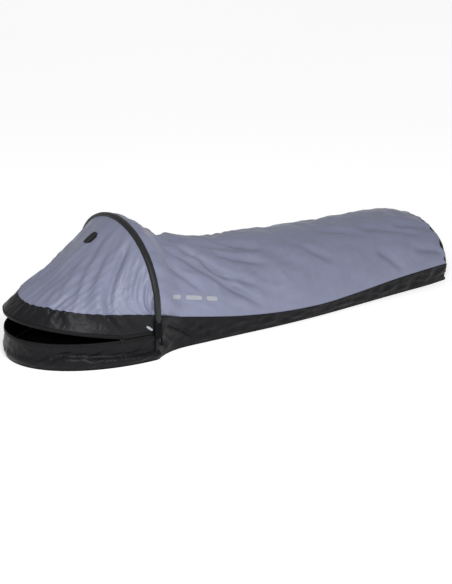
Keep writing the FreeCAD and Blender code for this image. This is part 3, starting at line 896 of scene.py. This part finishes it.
def box_points(centre, along, up, out, length, height, thick):
    """The eight corners of a small block, its outer face narrower than its inner one."""
    corners = []
    for depth, narrow in ((-0.5, 1.0), (0.5, 0.7)):
        for a, b in ((-1, -1), (1, -1), (1, 1), (-1, 1)):
            corners.append(centre + along * (a * length / 2 * narrow)
                           + up * (b * height / 2 * narrow) + out * (depth * thick))
    return corners


BLOCK_FACES = [(3, 2, 1, 0), (4, 5, 6, 7), (0, 1, 5, 4), (1, 2, 6, 5), (2, 3, 7, 6), (3, 0, 4, 7)]


def blocks_object(name, blocks, material):
    """One mesh of many small tapered blocks: the teeth of a zip, or stitches."""
    points = []
    faces = []
    for corners in blocks:
        base = len(points)
        points.extend(corners)
        faces.extend(tuple(base + i for i in face) for face in BLOCK_FACES)
    obj = make_object(name, points, faces, material)
    obj.data.shade_flat()
    return obj


def along_level(lvl, pitch, inset):
    """Evenly spaced places on a level: centre, direction along it, up and out."""
    samples = [level_at(lvl, i / 900, BACK_X, inset) for i in range(901)]
    spans = [0.0]
    for a, b in zip(samples, samples[1:]):
        spans.append(spans[-1] + float(np.linalg.norm(b - a)))
    count = int(spans[-1] / pitch)
    places = []
    for n in range(count):
        at = (n + 0.5) * spans[-1] / count
        i = min(899, int(np.searchsorted(spans, at)) - 1)
        share = (at - spans[i]) / max(1e-9, spans[i + 1] - spans[i])
        centre = samples[i] + (samples[i + 1] - samples[i]) * share
        along = samples[i + 1] - samples[i]
        along /= np.linalg.norm(along)
        out = np.array((along[1], -along[0], 0.0))
        out /= np.linalg.norm(out)
        if out @ np.array((centre[0] - HOOP_X, centre[1], 0)) < 0:
            out = -out
        places.append((centre, along, np.cross(out, along), out))
    return places


def row_of_blocks(name, lvl, pitch, size, material, inset=0.0, out_by=0.0):
    """Zip teeth or stitches along a level; size is each block's length, height and thickness."""
    blocks = []
    for centre, along, up, out in along_level(lvl, pitch, inset):
        blocks.append(box_points(centre + out * out_by, along, up, out, *size))
    return blocks_object(name, blocks, material)


# ---- hoop pieces
def make_sleeve():
    """Flattened tube of cloth along the pole, drawn into lengthwise wrinkles."""
    rows, around = 230, 28
    start = POCKET_TOP_Z - PIVOT_Z - 0.006
    points = np.zeros((rows, around, 3))
    place = np.zeros((rows, around, 3))
    for i in range(rows):
        s = start + (HOOP_LENGTH - 2 * start) * i / (rows - 1)
        y, z, heading = hoop_point(s)
        out = np.array((0.0, -math.cos(heading), math.sin(heading)))
        ends = 1 - 0.18 * (1 - smooth(min(i, rows - 1 - i) / 10))
        for j in range(around):
            a = 2 * math.pi * j / around
            c, d = math.cos(a), math.sin(a)
            wide = math.copysign(abs(c) ** 0.8, c) * SLEEVE_HALF_WIDTH * ends
            thick = math.copysign(abs(d) ** 0.9, d) * SLEEVE_HALF_THICK * ends
            wrinkle = 0.0011 * ripple((s * 0.45 + 3 * c, 2 * d), 0.35, 91.0)
            wrinkle += 0.0007 * ripple((s, c * 0.02), 0.012, 92.0)
            scale = 1 + wrinkle / SLEEVE_HALF_THICK
            points[i, j] = np.array((HOOP_X + wide * scale, y, z)) + out * thick * scale
            place[i, j] = (s, a * 0.011, 0)
    obj = make_object("pole_sleeve_cloth", points.reshape(-1, 3), grid_faces(rows, around, ring=True))
    store_cloth(obj, place)
    y, z, _ = hoop_point(HOOP_LENGTH / 2)
    face_outwards(obj, obj.data.polygons[len(obj.data.polygons) // 2], Vector((HOOP_X, y, z)))
    finish_sheet(obj, SLEEVE, INSIDE_SHADE, smoothing=0)
    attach(obj, "hoop")
    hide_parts("pole_sleeve")
    length = HOOP_LENGTH - 2 * start
    blocks = []
    count = int(length / STITCH_PITCH)
    for edge in (-1, 1):
        for n in range(count):
            y, z, heading = hoop_point(start + (n + 0.5) * length / count)
            out = np.array((0.0, -math.cos(heading), math.sin(heading)))
            along = np.array((0.0, math.sin(heading), math.cos(heading)))
            centre = np.array((HOOP_X + edge * 0.0098, y, z)) + out * (SLEEVE_HALF_THICK * 0.74)
            blocks.append(box_points(centre, along, X_AXIS, out, 0.0029, STITCH_WIDTH, 0.0012))
    seam = blocks_object("sleeve_stitching", blocks, THREAD)
    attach(seam, "hoop")


def on_leg(side, x, y, h):
    """A point given on a hoop leg standing upright at the pivot, leant with the leg."""
    lean = side * LEG_LEAN
    cy = y * math.cos(lean) - h * math.sin(lean)
    ch = y * math.sin(lean) + h * math.cos(lean)
    return HOOP_X + x, side * HOOP_HALF_WIDTH + cy, PIVOT_Z + ch


def make_pocket(name, side):
    """Flat webbing cup for the pole's tip: round toe, turned-over mouth and stitched edges."""
    around = 36
    height = POCKET_TOP_Z - PIVOT_Z
    rings = []
    for k in range(7):
        a = math.pi / 2 * k / 7
        rings.append((-0.0163 * math.cos(a), 0.0160 * math.sin(a) + 0.0008, 0.5 + 0.5 * math.sin(a)))
    for k in range(16):
        rings.append((height * k / 15, 0.0160 + 0.0006 * math.sin(k * 0.9), 1.0))
    rings.append((height + 0.0008, 0.0152, 0.9))
    rings.append((height, 0.0140, 0.76))
    rings.append((height - 0.008, 0.0138, 0.74))
    points = []
    for h, half_x, full in rings:
        for j in range(around):
            a = 2 * math.pi * j / around
            c, d = math.cos(a), math.sin(a)
            px = half_x * math.copysign(abs(c) ** 0.75, c)
            py = 0.0066 * full * math.copysign(abs(d) ** 0.65, d)
            py *= 1 + 0.12 * ripple((px, h), 0.012, 95.0 + side)
            points.append(on_leg(side, px, py, h))
    faces = grid_faces(len(rings), around, ring=True)
    points.append(on_leg(side, 0, 0, -0.0166))
    tip = len(points) - 1
    faces += [(tip, (j + 1) % around, j) for j in range(around)]
    obj = make_object("pole_pocket_cup_" + name, points, faces, WEBBING)
    check = obj.data.polygons[around * 10]
    face_outwards(obj, check, Vector((HOOP_X, side * HOOP_HALF_WIDTH, check.center.z)))
    subdivide = obj.modifiers.new("smoother", "SUBSURF")
    subdivide.levels = 1
    apply_modifiers(obj)
    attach(obj, "hoop")
    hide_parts("pole_pocket_" + name)
    blocks = []
    face_y = side * 0.0068
    out = np.array((0, side * 1.0, 0))
    for h in (0.006, height - 0.006, height - 0.010):
        for n in range(8):
            centre = np.array(on_leg(side, -0.0122 + 0.0035 * n, face_y, h))
            blocks.append(box_points(centre, X_AXIS, Z_AXIS, out, 0.0025, STITCH_WIDTH, 0.0008))
    for x in (-0.0125, 0.0125):
        for n in range(12):
            centre = np.array(on_leg(side, x, face_y * 0.94, 0.004 + 0.0041 * n))
            blocks.append(box_points(centre, Z_AXIS, X_AXIS, out, 0.0028, STITCH_WIDTH, 0.0008))
    seam = blocks_object("pocket_stitching_" + name, blocks, THREAD)
    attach(seam, "hoop")


def ribbon(name, path, width, thick):
    """Flat webbing that follows a path in the X-Z plane, its width along Y."""
    profile = [(-0.5, -0.5), (-0.46, 0.5), (0.46, 0.5), (0.5, -0.5)]
    points = []
    for i, p in enumerate(path):
        a = np.array(path[max(i - 1, 0)])
        b = np.array(path[min(i + 1, len(path) - 1)])
        along = (b - a) / np.linalg.norm(b - a)
        out = np.array((-along[2], 0, along[0]))
        for w, t in profile:
            points.append(np.array(p) + np.array((0, w * width, 0)) + out * t * thick)
    faces = grid_faces(len(path), 4, ring=True)
    faces += [(3, 2, 1, 0), tuple(len(points) - 4 + i for i in range(4))]
    return make_object(name, points, faces, WEBBING)


def make_stake_loop(name, side):
    """Webbing folded into a small loop and sewn together above its eye."""
    eye_z = 0.0685
    radius = 0.0053
    y = side * LOOP_Y
    path = [(LOOP_X - 0.0009, y, 0.0948 - 0.0035 * k) for k in range(6)]
    for k in range(19):
        a = math.radians(100 + 340 * k / 18)
        path.append((LOOP_X + radius * math.cos(a), y, eye_z + radius * math.sin(a)))
    path += [(LOOP_X + 0.0009, y, 0.0773 + 0.0035 * k) for k in range(6)]
    obj = ribbon("stake_loop_webbing_" + name, path, 0.0078, 0.0013)
    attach(obj, "loop_" + name)
    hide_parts("stake_loop_" + name)


def make_anchor(name):
    """Webbing patch behind the pocket's toe, sewn down round its edge."""
    low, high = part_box("pole_anchor_" + name)
    centre = (np.array(low) + np.array(high)) / 2
    half = (np.array(high) - np.array(low)) / 2
    size = 9
    last = size - 1
    layers = []
    for face in (-1, 1):
        for i in range(size):
            for j in range(size):
                a = 2 * i / last - 1
                b = 2 * j / last - 1
                edge = max(abs(a), abs(b))
                dome = 1 - 0.55 * edge ** 6 - 0.2 * math.exp(-(((edge - 0.8) / 0.08) ** 2))
                round_off = 1 - 0.06 * (abs(a) * abs(b)) ** 4
                layers.append(centre + half * np.array((a * round_off, face * dome, b * round_off)))
    faces = grid_faces(size, size)
    base = size * size
    faces = [tuple(reversed(f)) for f in faces] + [tuple(base + i for i in f) for f in faces]
    ring = list(range(size)) + [i * size + last for i in range(1, size)]
    ring += [last * size + j for j in range(last - 1, -1, -1)]
    ring += [i * size for i in range(last - 1, 0, -1)]
    for n, i in enumerate(ring):
        k = ring[(n + 1) % len(ring)]
        faces.append((i, k, base + k, base + i))
    obj = make_object("pole_anchor_patch_" + name, layers, faces, WEBBING)
    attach(obj, "sack")
    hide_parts("pole_anchor_" + name)


# ---- plain marks
def print_patch(name, target, origin, direction, across, up, width, height, material, corner):
    """A thin print or patch laid on a finished sheet, found by looking along a direction."""
    tree = BVHTree.FromObject(target, bpy.context.evaluated_depsgraph_get())
    rows, cols = 13, 25
    across = Vector(across).normalized()
    up = Vector(up).normalized()
    direction = Vector(direction).normalized()
    grid = np.zeros((rows, cols, 3))
    for i in range(rows):
        for j in range(cols):
            a = 2 * j / (cols - 1) - 1
            b = 2 * i / (rows - 1) - 1
            a_round = a * (1 - corner * abs(b) ** 5 * height / max(width, height))
            b_round = b * (1 - corner * abs(a) ** 5)
            start = Vector(origin) + across * (a_round * width / 2) + up * (b_round * height / 2)
            hit = tree.ray_cast(start - direction * 0.2, direction)[0]
            if hit is None:
                raise RuntimeError(f"{name} misses its cloth")
            grid[i, j] = hit - direction * 0.0009
    obj = sheet_object(name, grid)
    face_towards(obj, -direction)
    obj.data.materials.append(material)
    return obj


# ---- build
canopy = shape_canopy()
walls = [shape_wall(name, side) for name, side in SIDES]
head_wall = shape_head_wall()
foot = shape_foot()
hood = shape_hood()
settle_sheets()
scallop_foot_seam(canopy)
band, panel = split_hood(hood)

# Each sheet's inner face gets the near-black painted shade of the inside of the sack.
finish_sheet(canopy, CANOPY, INSIDE_SHADE)
for piece, node in (
    (walls[0], "tub_wall_right"),
    (walls[1], "tub_wall_left"),
    (head_wall, "head_wall"),
    (foot, "foot_end_panel"),
):
    finish_sheet(piece, TUB, INSIDE_SHADE)
    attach(piece, "sack")
    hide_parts(node)
finish_sheet(panel, CANOPY, INSIDE_SHADE)
finish_sheet(band, BAND, INSIDE_SHADE)
make_floor()
make_sleeve()
for name, side in SIDES:
    make_pocket(name, side)
    make_stake_loop(name, side)
    make_anchor(name)

upper_tape = zip_tape("upper_zip_tape_cloth", rim(RIM_Z + 0.0016), rim(RIM_TAPE_TOP + 0.001), -0.0008)
lower_tape = zip_tape("lower_zip_tape_cloth", flat(LIP_Z - 0.001), flat(0.1085), -0.0004)
TEETH = (0.0026, (0.0015, 0.0032, 0.0022), COIL, 0.0006)
STITCHES = (STITCH_PITCH, (0.0029, STITCH_WIDTH, 0.0006), THREAD)
upper_teeth = row_of_blocks("upper_zip_teeth", rim(RIM_Z + 0.0012), *TEETH)
lower_teeth = row_of_blocks("lower_zip_teeth", flat(0.1088), *TEETH)
upper_seam = row_of_blocks("band_stitching", rim(RIM_TAPE_TOP - 0.0012), *STITCHES, out_by=0.0022)
lower_seam = row_of_blocks("lip_stitching", flat(LIP_Z + 0.0022), *STITCHES, out_by=0.0018)

mark = print_patch("hood_badge", panel, (-0.672, 0.012, 0.434), (0.45, 0.1, -1), (1, 0, 0.5),
                   (0, 1, 0), 0.062, 0.050, BAND, 0.3)
bars = []
for number, (x, length) in enumerate(((-0.450, 0.050), (-0.365, 0.075), (-0.283, 0.050))):
    origin = (x, -0.26, 0.222 - 0.25 * (x + 0.45))
    bars.append(print_patch(f"canopy_print_bar_{number + 1}", canopy, origin, (0, 1, -0.25),
                            (1, 0, -0.25), (0, 0.2, 1), length, 0.018, PALE_PRINT, 0.2))
small = print_patch("band_print_bar", band, (-0.594, -0.31, 0.137), (0.1, 1, 0), (1, 0, -0.8),
                    (0.6, 0, 1), 0.030, 0.009, PALE_PRINT, 0.3)

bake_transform(canopy)
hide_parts("canopy_front", "canopy_rear")
for bar in bars:
    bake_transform(bar)
for piece, slot in (
    (panel, "canopy_fabric"),
    (band, "band_fabric"),
    (upper_tape, "zip_tape"),
    (upper_teeth, "zip_coil"),
    (upper_seam, "zip_tape"),
    (mark, "band_fabric"),
    (small, "band_fabric"),
):
    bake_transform(piece)
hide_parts("hood_panel")
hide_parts("hood_band", "hood_band_end_right", "hood_band_end_left")
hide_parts("upper_zip_tape", "closed_zip_right", "closed_zip_left")
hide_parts("upper_zip_coil")
for piece, node, slot in (
    (lower_tape, "lower_zip_tape", "zip_tape"),
    (lower_teeth, "lower_zip_coil", "zip_coil"),
    (lower_seam, None, "zip_tape"),
):
    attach(piece, "sack")
    if node:
        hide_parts(node)

# ---- CAD pieces that stay
FINISHES = {
    "zip_slider": ZIP_METAL,
    "zip_pull": ZIP_METAL,
    "zip_end_stop": TAPE,
    "shock_cord": CORD,
    "pole_section": POLE,
    "pole_ferrule": FERRULE,
    "pole_tip": TIP,
    "seam_tape": FILM,
}
for node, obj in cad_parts.items():
    for start, material in FINISHES.items():
        if node.startswith(start):
            obj.data.materials.clear()
            obj.data.materials.append(material)

# ---- studio
CAMERA_TARGET = Vector((-0.155, -0.163, 0.15))
CAMERA_DISTANCE = 6.0
CAMERA_AZIMUTH = math.radians(-33.0)
CAMERA_ELEVATION = math.radians(20.8)


def aim(name, data, location, direction):
    obj = bpy.data.objects.new(name, data)
    obj.location = location
    obj.rotation_euler = direction.to_track_quat("-Z", "Y").to_euler()
    bpy.context.scene.collection.objects.link(obj)
    return obj


def add_camera():
    flat_part = math.cos(CAMERA_ELEVATION)
    back = Vector((math.sin(CAMERA_AZIMUTH) * flat_part, -math.cos(CAMERA_AZIMUTH) * flat_part,
                   math.sin(CAMERA_ELEVATION)))
    data = bpy.data.cameras.new("photo_camera")
    data.lens = 91.7
    location = CAMERA_TARGET + back * CAMERA_DISTANCE
    bpy.context.scene.camera = aim("photo_camera", data, location, -back)


def add_key_light():
    """One soft light from the head end's right, which gives the folds their shading."""
    location = Vector((-1.5, -2.6, 1.7))
    data = bpy.data.lights.new("key", "AREA")
    data.shape = "DISK"
    data.size = 1.2
    data.energy = 62
    aim("key", data, location, Vector((-0.25, 0, 0.2)) - location)


def add_studio():
    """A pale floor that glows a little, so that its shadows stay soft, under a white sky."""
    corners = [(-40, -40, 0), (40, -40, 0), (40, 40, 0), (-40, 40, 0)]
    look = Shading("studio_white")
    tint = look.ramp(look.noise(look.place, 0.5), (0.90, 0.90, 0.90), (0.92, 0.92, 0.92))
    look.feed(look.shader, Base_Color=tint, Emission_Color=tint, Emission_Strength=0.50, Roughness=0.9)
    make_object("studio_floor", corners, [(0, 1, 2, 3)], look.material)
    world = bpy.data.worlds.new("studio")
    bpy.context.scene.world = world
    world.use_nodes = True
    background = world.node_tree.nodes["Background"]
    background.inputs["Color"].default_value = (1, 1, 1, 1)
    background.inputs["Strength"].default_value = 0.53


add_camera()
add_key_light()
add_studio()
bpy.context.scene.view_settings.view_transform = "Standard"
